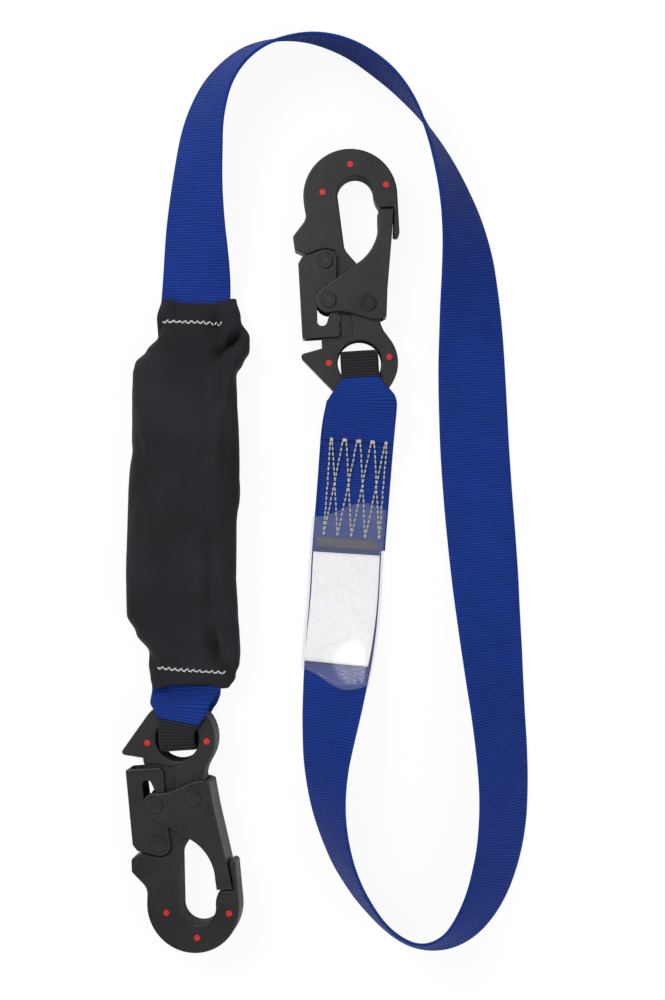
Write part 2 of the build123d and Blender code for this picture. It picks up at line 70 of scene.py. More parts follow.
# ---- route of the strap: x, y, lift of the lower edge, and roll in degrees ----
STRAP_ROUTE = [
    (0.0055, 0.1030, 0.0060, 0.0),
    (0.0075, 0.1250, 0.0045, 3.0),
    (0.0080, 0.1480, 0.0025, 15.0),
    (0.0075, 0.1800, 0.0006, 33.0),
    (0.0095, 0.2100, 0.0006, 43.0),
    (0.0130, 0.2400, 0.0006, 51.0),
    (0.0235, 0.2670, 0.0006, 60.0),
    (0.0440, 0.2860, 0.0006, 67.0),
    (0.0740, 0.2925, 0.0006, 76.0),
    (0.1030, 0.2860, 0.0006, 87.0),
    (0.1270, 0.2705, 0.0006, 91.0),
    (0.1460, 0.2510, 0.0006, 86.0),
    (0.1605, 0.2260, 0.0006, 74.0),
    (0.1730, 0.1950, 0.0006, 60.0),
    (0.1815, 0.1600, 0.0006, 43.0),
    (0.1840, 0.1200, 0.0006, 26.0),
    (0.1855, 0.0750, 0.0006, 9.0),
    (0.1880, 0.0200, 0.0006, 1.0),
    (0.1925, -0.0350, 0.0006, 6.0),
    (0.1965, -0.0850, 0.0006, 22.0),
    (0.2010, -0.1330, 0.0006, 35.0),
    (0.2050, -0.1750, 0.0006, 40.0),
    (0.2045, -0.2120, 0.0006, 42.0),
    (0.1975, -0.2460, 0.0006, 46.0),
    (0.1840, -0.2715, 0.0006, 53.0),
    (0.1680, -0.2840, 0.0006, 62.0),
    (0.1480, -0.2860, 0.0006, 72.0),
    (0.1295, -0.2750, 0.0006, 77.0),
    (0.1125, -0.2540, 0.0006, 75.0),
    (0.1000, -0.2300, 0.0006, 70.0),
    (0.0930, -0.2030, 0.0006, 63.0),
    (0.0905, -0.1760, 0.0006, 54.0),
    (0.0930, -0.1500, 0.0011, 42.0),
    (0.0965, -0.1240, 0.0011, 28.0),
    (0.1000, -0.0970, 0.0011, 12.0),
    (0.1030, -0.0680, 0.0011, 0.0),
    (0.1045, -0.0350, 0.0011, 0.0),
    (0.1075, 0.0000, 0.0011, 0.0),
    (0.1100, 0.0360, 0.0011, 0.0),
]
UP = Vector((0, 0, 1))


# ---------------------------------------------------------------------------
# Finishes
# ---------------------------------------------------------------------------
class Finish:
    """A material's nodes, added one after another."""

    def __init__(self, name, roughness, metallic=0.0, specular=0.5):
        self.material = bpy.data.materials.new(name)
        self.material.use_nodes = True
        self.nodes = self.material.node_tree.nodes
        self.links = self.material.node_tree.links
        self.shader = self.nodes["Principled BSDF"]
        self.shader.inputs["Roughness"].default_value = roughness
        self.shader.inputs["Metallic"].default_value = metallic
        self.shader.inputs["Specular IOR Level"].default_value = specular
        self.place = self.nodes.new("ShaderNodeTexCoord")

    def plug(self, source, target):
        self.links.new(source, target)

    def grain(self, scale, detail=4.0):
        """Noise on the piece, its scale in repeats a metre."""
        texture = self.nodes.new("ShaderNodeTexNoise")
        texture.inputs["Scale"].default_value = scale
        texture.inputs["Detail"].default_value = detail
        self.plug(self.place.outputs["Object"], texture.inputs["Vector"])
        return texture.outputs["Fac"]

    def bands(self, pitch, axis, distort=0.0):
        """Soft ribs across or along the piece's own UV map, which is in metres."""
        wave = self.nodes.new("ShaderNodeTexWave")
        wave.bands_direction = axis
        wave.inputs["Scale"].default_value = math.pi / 10 / pitch
        wave.inputs["Distortion"].default_value = distort
        wave.inputs["Detail Scale"].default_value = 3.0
        self.plug(self.place.outputs["UV"], wave.inputs["Vector"])
        return wave.outputs["Fac"]

    def ramp(self, factor, stops):
        """Colours, or roughnesses, from a shade: stops are (place, colour)."""
        ramp = self.nodes.new("ShaderNodeValToRGB")
        edges = ramp.color_ramp.elements
        edges[0].position, edges[0].color = stops[0][0], (*stops[0][1], 1)
        edges[1].position, edges[1].color = stops[-1][0], (*stops[-1][1], 1)
        for position, colour in stops[1:-1]:
            middle = edges.new(position)
            middle.color = (*colour, 1)
        self.plug(factor, ramp.inputs["Fac"])
        return ramp.outputs["Color"]

    def combine(self, operation, first, second):
        """One shade from two, or from a shade and a plain number."""
        math_node = self.nodes.new("ShaderNodeMath")
        math_node.operation = operation
        for socket, value in zip(math_node.inputs, (first, second)):
            if isinstance(value, float):
                socket.default_value = value
            else:
                self.plug(value, socket)
        return math_node.outputs[0]

    def multiply(self, colour, shade, strength):
        """A colour darkened by a shade."""
        mix = self.nodes.new("ShaderNodeMix")
        mix.data_type = "RGBA"
        mix.blend_type = "MULTIPLY"
        mix.inputs["Factor"].default_value = strength
        self.plug(colour, mix.inputs[6])
        self.plug(shade, mix.inputs[7])
        return mix.outputs[2]

    def bump(self, height, distance, strength=1.0):
        bump = self.nodes.new("ShaderNodeBump")
        bump.inputs["Distance"].default_value = distance
        bump.inputs["Strength"].default_value = strength
        self.plug(height, bump.inputs["Height"])
        self.plug(bump.outputs["Normal"], self.shader.inputs["Normal"])

    def colour(self, source):
        self.plug(source, self.shader.inputs["Base Color"])


def webbing_finish(name, dark, light, sheen=0.03):
    """Ribbed webbing: ribs across its width, finer yarns along it."""
    finish = Finish(name, 0.78, specular=0.12)
    ribs = finish.bands(RIB_PITCH, "Y", 0.4)
    yarns = finish.bands(YARN_PITCH, "X", 0.6)
    yarn_share = finish.combine("ADD", finish.combine("MULTIPLY", yarns, 0.35), 0.65)
    weave = finish.combine("MULTIPLY", ribs, yarn_share)
    tone = finish.ramp(weave, [(0.0, dark), (0.55, light), (1.0, light)])
    fade = finish.ramp(finish.grain(45.0), [(0.3, (0.82, 0.82, 0.82)), (0.7, (1.0, 1.0, 1.0))])
    finish.colour(finish.multiply(tone, fade, 0.8))
    finish.bump(weave, 0.00035, 0.8)
    finish.shader.inputs["Sheen Weight"].default_value = sheen
    finish.shader.inputs["Sheen Roughness"].default_value = 0.4
    return finish.material


def cover_finish():
    """Black coated cloth of the pack's cover: close weave, dusty in soft clouds."""
    finish = Finish("black_cover_cloth", 0.8, specular=0.12)
    weave = finish.grain(2600.0, 2.0)
    cloudy = finish.grain(28.0, 6.0)
    finish.colour(finish.ramp(cloudy, [(0.3, (0.0095, 0.0095, 0.012)), (0.75, (0.019, 0.019, 0.023))]))
    finish.bump(finish.combine("ADD", weave, finish.combine("MULTIPLY", cloudy, 1.5)), 0.0003, 0.5)
    finish.shader.inputs["Sheen Weight"].default_value = 0.06
    finish.shader.inputs["Sheen Roughness"].default_value = 0.5
    return finish.material


def coated_finish(name, dark, light, roughness, pits, metallic=0.0):
    """A coated or moulded hard surface: tone drifts slowly and fine grain breaks its gloss."""
    finish = Finish(name, roughness, metallic, 0.35)
    finish.colour(finish.ramp(finish.grain(60.0, 5.0), [(0.3, dark), (0.7, light)]))
    speckle = finish.grain(1500.0, 3.0)
    low, high = roughness - 0.07, roughness + 0.1
    finish.plug(
        finish.ramp(speckle, [(0.35, (low,) * 3), (0.65, (high,) * 3)]), finish.shader.inputs["Roughness"]
    )
    finish.bump(speckle, pits, 0.6)
    return finish.material


def vinyl_finish():
    """Clear soft vinyl of the label pocket, faintly milky."""
    finish = Finish("clear_vinyl", 0.12, specular=0.6)
    finish.shader.inputs["Alpha"].default_value = 0.075
    finish.shader.inputs["Coat Weight"].default_value = 0.6
    finish.shader.inputs["Coat Roughness"].default_value = 0.06
    waves = finish.grain(55.0, 2.0)
    finish.colour(finish.ramp(waves, [(0.3, (0.45, 0.48, 0.56)), (0.7, (0.62, 0.64, 0.70))]))
    finish.bump(waves, 0.0012, 0.4)
    return finish.material


def card_finish():
    """Plain white card with a faint laid grain."""
    finish = Finish("white_card", 0.55, specular=0.3)
    finish.colour(finish.ramp(finish.grain(300.0), [(0.3, (0.80, 0.80, 0.79)), (0.7, (0.88, 0.88, 0.87))]))
    finish.bump(finish.grain(2500.0), 0.0001, 0.3)
    return finish.material


def thread_finish(name, dark, light):
    """Twisted sewing thread."""
    finish = Finish(name, 0.6, specular=0.3)
    twist = finish.grain(1800.0, 2.0)
    finish.colour(finish.ramp(twist, [(0.3, dark), (0.7, light)]))
    finish.bump(twist, 0.0002, 0.6)
    return finish.material


BLUE_WEBBING = webbing_finish("blue_webbing", (0.004, 0.015, 0.115), (0.008, 0.038, 0.26))
BLACK_SLEEVE = webbing_finish("black_sleeve", (0.006, 0.006, 0.007), (0.022, 0.022, 0.025), 0.1)
COVER_CLOTH = cover_finish()
CLEAR_VINYL = vinyl_finish()
WHITE_CARD = card_finish()
GREY_STRIP = coated_finish("grey_label_strip", (0.03, 0.03, 0.038), (0.05, 0.05, 0.062), 0.5, 0.0001)
CREAM_THREAD = thread_finish("cream_thread", (0.55, 0.50, 0.38), (0.82, 0.78, 0.66))
WHITE_THREAD = thread_finish("white_thread", (0.7, 0.7, 0.7), (0.92, 0.92, 0.92))
HOOK_COAT = coated_finish("black_hook_coat", (0.010, 0.010, 0.011), (0.017, 0.017, 0.0185), 0.46, 0.00022)
GATE_COAT = coated_finish("black_gate_coat", (0.013, 0.013, 0.0145), (0.021, 0.021, 0.023), 0.40, 0.00018)
BOW_NYLON = coated_finish("black_bow_nylon", (0.009, 0.009, 0.010), (0.015, 0.015, 0.0165), 0.44, 0.0002)
RIVET_COAT = coated_finish("dark_rivet_coat", (0.02, 0.02, 0.022), (0.035, 0.035, 0.038), 0.38, 0.00012, 0.3)
SPRING_STEEL = coated_finish("bright_spring_steel", (0.5, 0.5, 0.52), (0.62, 0.62, 0.64), 0.3, 0.00005, 1.0)
RED_PLUG = coated_finish("red_plug", (0.45, 0.01, 0.01), (0.62, 0.02, 0.015), 0.4, 0.0001)

NODE_FINISHES = {
    "body": HOOK_COAT,
    "bow_jacket": BOW_NYLON,
    "plugs": RED_PLUG,
    "gate": GATE_COAT,
    "lever": GATE_COAT,
    "gate_rivet": RIVET_COAT,
    "lock_pin": RIVET_COAT,
    "lever_rivet": RIVET_COAT,
    "gate_spring": SPRING_STEEL,
    "lever_spring": SPRING_STEEL,
}


def paint(obj, material):
    """Give a piece one finish all over."""
    obj.data.materials.clear()
    obj.data.materials.append(material)


# ---------------------------------------------------------------------------
# Lines and bands
# ---------------------------------------------------------------------------
def smooth_line(points, fineness=10):
    """Points along the smooth line that control points give."""
    curve = bpy.data.curves.new("line", "CURVE")
    curve.dimensions = "3D"
    spline = curve.splines.new("NURBS")
    spline.points.add(len(points) - 1)
    for spot, point in zip(spline.points, points):
        spot.co = (*point, 1.0)
    spline.order_u = 3
    spline.use_endpoint_u = True
    spline.resolution_u = fineness
    holder = bpy.data.objects.new("line", curve)
    bpy.context.collection.objects.link(holder)
    bpy.context.view_layer.update()
    mesh = bpy.data.meshes.new_from_object(holder)
    line = [vertex.co.copy() for vertex in mesh.vertices]
    bpy.data.objects.remove(holder)
    bpy.data.curves.remove(curve)
    bpy.data.meshes.remove(mesh)
    return line


def piece(name, mesh, finish, body=None):
    """A new object from a bmesh, smooth, with its finish, riding on a body."""
    data = bpy.data.meshes.new(name)
    mesh.normal_update()
    mesh.to_mesh(data)
    mesh.free()
    obj = bpy.data.objects.new(name, data)
    bpy.context.collection.objects.link(obj)
    for face in data.polygons:
        face.use_smooth = True
    paint(obj, finish)
    if body:
        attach(obj, body)
    return obj


class Station:
    """A place along a band: its middle, its own three directions, half width and distance."""

    def __init__(self, middle, across, along, half, distance):
        self.middle = middle
        self.across = across.normalized()
        self.along = along.normalized()
        self.normal = self.across.cross(self.along).normalized()
        self.half = half
        self.distance = distance

    def at(self, side, rise):
        return self.middle + self.across * side + self.normal * rise


def stations_along(line, across_at, half_at):
    """Stations on a line; across_at and half_at take a point's number on it."""
    places = []
    distance = 0.0
    for i, point in enumerate(line):
        before = line[max(i - 1, 0)]
        after = line[min(i + 1, len(line) - 1)]
        if i:
            distance += (point - before).length
        along = (after - before).normalized()
        across = across_at(i)
        across = across - along * across.dot(along)
        places.append(Station(point, across, along, half_at(i), distance))
    return places


def edge_profile(half, thick, columns=16, corner=4):
    """Rounded cross section of a band, as (side, rise) pairs, anticlockwise."""
    radius = thick / 2
    flat = half - radius
    pairs = [(-flat + 2 * flat * i / columns, -radius) for i in range(columns + 1)]
    for i in range(1, corner):
        angle = -math.pi / 2 + math.pi * i / corner
        pairs.append((flat + radius * math.cos(angle), radius * math.sin(angle)))
    pairs += [(flat - 2 * flat * i / columns, radius) for i in range(columns + 1)]
    for i in range(1, corner):
        angle = math.pi / 2 + math.pi * i / corner
        pairs.append((-flat + radius * math.cos(angle), radius * math.sin(angle)))
    return pairs


def band(name, places, thick, finish, body=None, rise_at=None, shift=0.0, ripple=0.0003, width=None):
    """A flat woven band through stations, with its UV map in metres."""
    mesh = bmesh.new()
    uv = mesh.loops.layers.uv.new("weave")
    rings = []
    for place in places:
        half = place.half if width is None else width / 2
        rise = rise_at(place) if rise_at else 0.0
        ring = []
        for side, up in edge_profile(half, thick):
            wave = noise.noise(Vector((side * 60, place.distance * 45, 3.0))) * ripple
            vertex = mesh.verts.new(place.at(side + shift, up + rise + wave))
            ring.append((vertex, side + up * 0.5))
        rings.append(ring)
    count = len(rings[0])
    for first, second, here, there in zip(rings, rings[1:], places, places[1:]):
        for i in range(count):
            j = (i + 1) % count
            face = mesh.faces.new((first[i][0], second[i][0], second[j][0], first[j][0]))
            corners = (
                (first[i][1], here.distance),
                (second[i][1], there.distance),
                (second[j][1], there.distance),
                (first[j][1], here.distance),
            )
            for loop, spot in zip(face.loops, corners):
                loop[uv].uv = spot
    mesh.faces.new([vertex for vertex, _ in rings[0]])
    mesh.faces.new([vertex for vertex, _ in reversed(rings[-1])])
    bmesh.ops.recalc_face_normals(mesh, faces=mesh.faces)
    return piece(name, mesh, finish, body)


# ---------------------------------------------------------------------------
# Main strap: its roll and lift are smoothed the same way as its route.
# ---------------------------------------------------------------------------
def strap_stations():
    """Stations on the strap, its inner edge rolled up as the route says."""
    heights = []
    for x, y, lift, roll in STRAP_ROUTE:
        angle = math.radians(roll)
        heights.append((x, y, lift + HALF_WIDTH * math.sin(angle) + HALF_THICK * math.cos(angle)))
    line = smooth_line(heights)
    turns = smooth_line([(math.radians(roll), lift, 0.0) for _, _, lift, roll in STRAP_ROUTE])
    level = []
    for point, turn in zip(line, turns):
        height = turn.y + HALF_WIDTH * math.sin(turn.x) + HALF_THICK * math.cos(turn.x)
        level.append(Vector((point.x, point.y, height)))

    def across_at(i):
        before = level[max(i - 1, 0)]
        after = level[min(i + 1, len(level) - 1)]
        along = Vector((after.x - before.x, after.y - before.y, 0)).normalized()
        inward = Vector((along.y, -along.x, 0))
        return inward * math.cos(turns[i].x) + UP * math.sin(turns[i].x)

    return stations_along(level, across_at, lambda i: HALF_WIDTH)


strap = strap_stations()
strap_end = strap[-1].distance


def strap_part(near, far):
    """The strap's stations between two distances back from its end at hook 2."""
    return [place for place in strap if far <= strap_end - place.distance <= near]


main_strap = band("main_strap_webbing", strap, WEB_THICK, BLUE_WEBBING, "lanyard")
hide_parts("main_strap")


# ---- the strap's end comes back over it, and is sewn down with a long zigzag ----
TAIL_LENGTH = 0.071
TAIL_LIFT = 0.0085
TAIL_SHIFT = 0.0022
LIFT_START = 0.045


def tail_rise(place):
    """Height of the upper layer over the lower one: it lifts off towards the hook."""
    back = strap_end - place.distance
    share = max(0.0, 1.0 - back / LIFT_START)
    return WEB_THICK + LAYER_GAP + TAIL_LIFT * share * share


tail = strap_part(TAIL_LENGTH, 0.0)
strap_tail = band("strap_tail_webbing", tail, WEB_THICK, BLUE_WEBBING, "lanyard", tail_rise, TAIL_SHIFT)
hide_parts("strap_tail")


def along_strap(back, side, rise):
    """A point over the strap: distance back from its end, to the side, and above its middle."""
    for first, second in zip(strap, strap[1:]):
        if second.distance >= strap_end - back:
            share = (strap_end - back - first.distance) / (second.distance - first.distance)
            return first.at(side, rise).lerp(second.at(side, rise), share), second
    return strap[-1].at(side, rise), strap[-1]


def stitch_shape(length, radius):
    """One sewn stitch: a short rounded grain of thread."""
    bpy.ops.object.select_all(action="DESELECT")
    bpy.ops.mesh.primitive_cylinder_add(vertices=8, radius=radius, depth=length, rotation=(0, math.pi / 2, 0))
    bpy.ops.object.transform_apply(rotation=True)
    shape = bpy.context.object
    bpy.ops.object.mode_set(mode="EDIT")
    bpy.ops.mesh.select_all(action="SELECT")
    bpy.ops.mesh.bevel(offset=radius * 0.7, segments=2)
    bpy.ops.object.mode_set(mode="OBJECT")
    data = shape.data.copy()
    bpy.data.objects.remove(shape)
    return data


def sew(name, shape, spots, finish, body):
    """Copies of a stitch laid along a seam: spots holds each one's middle, direction and up."""
    mesh = bmesh.new()
    for middle, along, up in spots:
        side = up.cross(along).normalized()
        lifted = along.cross(side).normalized()
        turn = Matrix((along, side, lifted)).transposed().to_4x4()
        start = len(mesh.verts)
        mesh.from_mesh(shape)
        mesh.verts.ensure_lookup_table()
        bmesh.ops.transform(mesh, matrix=Matrix.Translation(middle) @ turn, verts=mesh.verts[start:])
    return piece(name, mesh, finish, body)


STITCH_LENGTH = 0.0024
STITCH_PITCH = 0.0031
THREAD_RADIUS = 0.00055
stitch = stitch_shape(STITCH_LENGTH, THREAD_RADIUS)
ZIGZAG_COLUMNS = (-0.018, -0.009, 0.0, 0.009, 0.018)
ZIGZAG_TOP = -0.008
ZIGZAG_LOW = 0.0625


def zigzag_turns():
    """The seam's corners as (column, end): every second column each way, then back."""
    first, second, third, fourth, fifth = ZIGZAG_COLUMNS
    tops = [ZIGZAG_TOP, ZIGZAG_LOW]
    order = (first, second, third, fourth, fifth, fifth, fourth, third, second, first, first)
    return [(column, tops[i % 2]) for i, column in enumerate(order)]


def zigzag_spots():
    """The zigzag's stitches, each on the upper layer's face."""
    spots = []
    corners = zigzag_turns()
    for (side_a, back_a), (side_b, back_b) in zip(corners, corners[1:]):
        length = math.hypot(side_b - side_a, back_b - back_a)
        count = int(length / STITCH_PITCH)
        for i in range(count):
            here = (i + 0.5) / count
            side = side_a + (side_b - side_a) * here
            back = max(0.0005, back_a + (back_b - back_a) * here)
            ahead = back + (back_b - back_a) / count * 0.3
            point, place = along_strap(back, side + TAIL_SHIFT, 0.0)
            rise = tail_rise(place) + HALF_THICK
            point = point + place.normal * (rise + THREAD_RADIUS * 0.35)
            target, _ = along_strap(max(0.0, ahead), side + TAIL_SHIFT + (side_b - side_a) / count * 0.3, 0.0)
            lifted = target + place.normal * (rise + THREAD_RADIUS * 0.35)
            direction = (lifted - point).normalized()
            jitter = Vector((random.uniform(-1, 1), random.uniform(-1, 1), 0)) * 0.00015
            spots.append((point + jitter, direction, place.normal))
    return spots


zigzag = sew("zigzag_stitching", stitch, zigzag_spots(), CREAM_THREAD, "lanyard")


# ---- clear pocket round the strap, with a blank card in it ----
POCKET_NEAR = 0.044
POCKET_FAR = 0.158
CARD_NEAR = 0.073
CARD_FAR = 0.147
STRIP_NEAR = 0.060
VINYL_WALL = 0.0004


CARD_THICK = 0.0004
CARD_WIDTH = 0.043
STRIP_WIDTH = 0.039
CARD_LIFT = 0.0006
SHEET_LIFT = 0.0012


def card_rise(place):
    """Height of the label over the strap's middle."""
    return tail_rise(place) + HALF_THICK + CARD_LIFT


def top_sheet_rise(place):
    """Height of the pocket's upper sheet."""
    return card_rise(place) + SHEET_LIFT


label_card = band(
    "label_card_blank",
    strap_part(CARD_FAR, CARD_NEAR),
    CARD_THICK,
    WHITE_CARD,
    "lanyard",
    card_rise,
    width=CARD_WIDTH,
)
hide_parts("label_card")
grey_strip = band(
    "label_grey_strip",
    strap_part(CARD_NEAR - CARD_THICK, STRIP_NEAR),
    CARD_THICK,
    GREY_STRIP,
    "lanyard",
    card_rise,
    width=STRIP_WIDTH,
)


def pocket_mesh():
    """A flattened tube of vinyl with open, wavy ends."""
    mesh = bmesh.new()
    rings = []
    for place in strap_part(POCKET_FAR, POCKET_NEAR):
        low = -HALF_THICK - 0.0004
        top = top_sheet_rise(place)
        swell = noise.noise(Vector((place.distance * 30, 0, 0)))
        middle = (low + top) / 2
        wide = (top - low) / 2
        end = min(place.distance - (strap_end - POCKET_FAR), (strap_end - POCKET_NEAR) - place.distance)
        slant = 0.006 * max(0.0, 1.0 - end / 0.02)
        toward = 1.0 if place.distance > strap_end - 0.1 else -1.0
        ring = []
        for side, up in edge_profile(HALF_WIDTH + 0.0014, 2 * wide, 14, 6):
            wave = noise.noise(Vector((side * 70, place.distance * 60, 9.0))) * 0.0007 if up > 0 else 0.0
            point = place.at(side, middle + up + max(0.0, wave + 0.0002 * swell))
            point += place.along * toward * slant * math.sin(side * 95 + 0.6)
            ring.append(mesh.verts.new(point))
        rings.append(ring)
    for first, second in zip(rings, rings[1:]):
        for i in range(len(first)):
            j = (i + 1) % len(first)
            mesh.faces.new((first[i], second[i], second[j], first[j]))
    bmesh.ops.recalc_face_normals(mesh, faces=mesh.faces)
    return mesh


label_pocket = piece("label_pocket_vinyl", pocket_mesh(), CLEAR_VINYL)
bpy.context.view_layer.objects.active = label_pocket
wall = label_pocket.modifiers.new("wall", "SOLIDIFY")
wall.thickness = VINYL_WALL
wall.offset = 1.0
bpy.ops.object.modifier_apply(modifier="wall")
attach(label_pocket, "lanyard")
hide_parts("label_pocket")

tuple(strap[0].middle)
[tuple(place.middle) for place in strap]


# ---------------------------------------------------------------------------
# Webbing loops through the hooks' eyes, and their black sleeves
# ---------------------------------------------------------------------------
def hook_spot(hook, x, y, z):
    return HOOK_PLACES[hook] @ Vector((x, y, z))


def eased(value, low, high):
    """From 0 at low to 1 at high, without a corner at either."""
    share = min(1.0, max(0.0, (value - low) / (high - low)))
    return share * share * (3 - 2 * share)


def loop_half(hook, y):
    """Half width of the loop, by its place along the hook's own Y."""
    widest, narrow = (0.0222, 0.0108) if hook == 1 else (HALF_WIDTH, 0.0112)
    wide_at, narrow_at = (-0.030, -0.003) if hook == 1 else (-0.0265, -0.006)
    return widest + (narrow - widest) * eased(y, wide_at, narrow_at)


# where each strand lies on the eye's rim, along the hook's own Y, and how far it is off centre there
LOOP_LEGS = {
    1: ((-0.0225, 0.0045), (-0.0170, 0.0036), (-0.0110, 0.0020), (-0.0050, 0.0005)),
    2: ((-0.0260, 0.0), (-0.0190, 0.0), (-0.0120, 0.0), (-0.0050, 0.0)),
}


def hook_loop(hook, low_start, high_start, start_across):
    """A loop of webbing from two strands in the strap or pack, round the eye's rim."""
    leg = LOOP_LEGS[hook]
    lower = [hook_spot(hook, side, y, -LEG_HEIGHT) for y, side in leg]
    bend = [
        hook_spot(hook, 0, 0.0035, -LEG_HEIGHT),
        hook_spot(hook, 0, 0.0065, -0.004),
        hook_spot(hook, 0, 0.0065, 0.004),
        hook_spot(hook, 0, 0.0035, LEG_HEIGHT),
    ]
    upper = [hook_spot(hook, side, y, LEG_HEIGHT) for y, side in reversed(leg)]
    line = smooth_line(low_start + lower + bend + upper + high_start, 8)
    inverse = HOOK_PLACES[hook].inverted()
    hook_across = HOOK_PLACES[hook].to_3x3() @ Vector((1, 0, 0))
    middle = len(line) / 2

    def across_at(i):
        local = inverse @ line[i]
        turned = eased(local.y, -0.042, -0.024)
        across = start_across.lerp(hook_across, turned)
        return across if i < middle else -across

    def half_at(i):
        return loop_half(hook, (inverse @ line[i]).y)

    return stations_along(line, across_at, half_at)


def loop_and_sleeve(hook, places, sleeve_from):
    """A loop of webbing between the lanyard and its hook, and the sleeve that rides on the hook."""
    inverse = HOOK_PLACES[hook].inverted()
    loop = band(f"hook_{hook}_loop_webbing", places, WEB_THICK, BLUE_WEBBING)
    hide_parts(f"hook_{hook}_loop")
    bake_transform(loop)
    inside = [place for place in places if (inverse @ place.middle).y > sleeve_from]
    for place in inside:
        place.half += SLEEVE_WALL
    sleeve_thick = WEB_THICK + 2 * SLEEVE_WALL
    sleeve = band(f"hook_{hook}_sleeve_webbing", inside, sleeve_thick, BLACK_SLEEVE, f"hook_{hook}")
    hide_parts(f"hook_{hook}_wear_sleeve")


strap_last = strap[-1]
tail_top = tail_rise(strap_last)
step_back = strap_last.along * 0.001
low_strand = [strap_last.middle - step_back, strap_last.middle + strap_last.along * 0.008]
high_strand = [
    strap_last.at(TAIL_SHIFT, tail_top + 0.0030) + strap_last.along * 0.008,
    strap_last.at(TAIL_SHIFT, tail_top) - step_back,
]
loop_and_sleeve(2, hook_loop(2, low_strand, high_strand, strap_last.across), -0.0094)

PACK_MOUTH_Y = -0.108
pack_low = [Vector((0.0030, PACK_MOUTH_Y, 0.0062)), Vector((0.0018, PACK_MOUTH_Y - 0.014, 0.0056))]
pack_high = [Vector((0.0018, PACK_MOUTH_Y - 0.014, 0.0165)), Vector((0.0030, PACK_MOUTH_Y, 0.0120))]
loop_and_sleeve(1, hook_loop(1, pack_low, pack_high, Vector((1, 0, 0))), -0.0116)


# ---------------------------------------------------------------------------
# Absorber pack: a soft cover, lofted along the pack and then let swell and
# crease as cloth.
# ---------------------------------------------------------------------------
# y, left side, right side, height
PACK_SHAPE = [
    (0.1265, -0.0145, 0.0335, 0.0120),
    (0.1130, -0.0177, 0.0370, 0.0150),
    (0.1010, -0.0172, 0.0425, 0.0180),
    (0.0920, -0.0235, 0.0425, 0.0210),
    (0.0840, -0.0305, 0.0385, 0.0245),
    (0.0770, -0.0318, 0.0345, 0.0270),
    (0.0600, -0.0322, 0.0350, 0.0290),
    (0.0360, -0.0325, 0.0360, 0.0300),
    (0.0050, -0.0346, 0.0363, 0.0300),
    (-0.0160, -0.0344, 0.0332, 0.0300),
    (-0.0500, -0.0354, 0.0334, 0.0300),
    (-0.0740, -0.0354, 0.0346, 0.0280),
    (-0.0860, -0.0300, 0.0355, 0.0250),
    (-0.0980, -0.0225, 0.0360, 0.0215),
    (-0.1060, -0.0226, 0.0355, 0.0195),
    (-0.1150, -0.0214, 0.0330, 0.0180),
    (-0.1220, -0.0200, 0.0285, 0.0175),
]
PACK_RING = 72
MOUTH_NOTCH = 0.0070


def pack_profile(y):
    """The cover's sides and height at a place along it."""
    for first, second in zip(PACK_SHAPE, PACK_SHAPE[1:]):
        if y >= second[0]:
            share = eased(first[0] - y, 0.0, first[0] - second[0])
            return [a + (b - a) * share for a, b in zip(first[1:], second[1:])]
    return PACK_SHAPE[-1][1:]


def fold(x, y, start, end, width, depth):
    """A crease from one spot to another: how deep it cuts at a place."""
    line = Vector(end) - Vector(start)
    reach = Vector((x, y)) - Vector(start)
    share = reach.dot(line) / line.length_squared
    if share < -0.15 or share > 1.15:
        return 0.0
    taper = math.sin(math.pi * min(1.0, max(0.0, (share + 0.15) / 1.3)))
    away = abs(reach.x * line.y - reach.y * line.x) / line.length
    return depth * taper * math.exp(-((away / width) ** 2))


# start, end, width and depth of the creases pressed into the cover's face
CREASES = [
    ((0.0215, 0.121), (0.0230, 0.088), 0.0024, 0.0105),
    ((0.0215, 0.086), (0.0385, 0.105), 0.0028, 0.0110),
    ((0.0170, 0.084), (0.0120, 0.060), 0.0034, 0.0018),
    ((0.0345, 0.082), (0.0240, 0.052), 0.0026, -0.0026),
    ((0.0300, 0.070), (0.0215, 0.048), 0.0024, 0.0020),
    ((0.0235, 0.055), (0.0225, 0.015), 0.0032, -0.0020),
    ((0.0175, 0.060), (0.0165, -0.010), 0.0040, 0.0014),
    ((-0.010, 0.114), (-0.029, 0.086), 0.0026, 0.0030),
    ((0.0200, -0.084), (0.0225, -0.104), 0.0036, 0.0120),
    ((0.0225, -0.101), (0.0335, -0.112), 0.0022, 0.0060),
    ((0.0110, -0.020), (0.0140, -0.088), 0.0036, -0.0022),
    ((0.0200, -0.020), (0.0190, -0.082), 0.0040, 0.0026),
    ((-0.016, -0.108), (-0.031, -0.088), 0.0024, 0.0034),
    ((0.0040, 0.078), (-0.0060, 0.060), 0.0060, 0.0010),
]


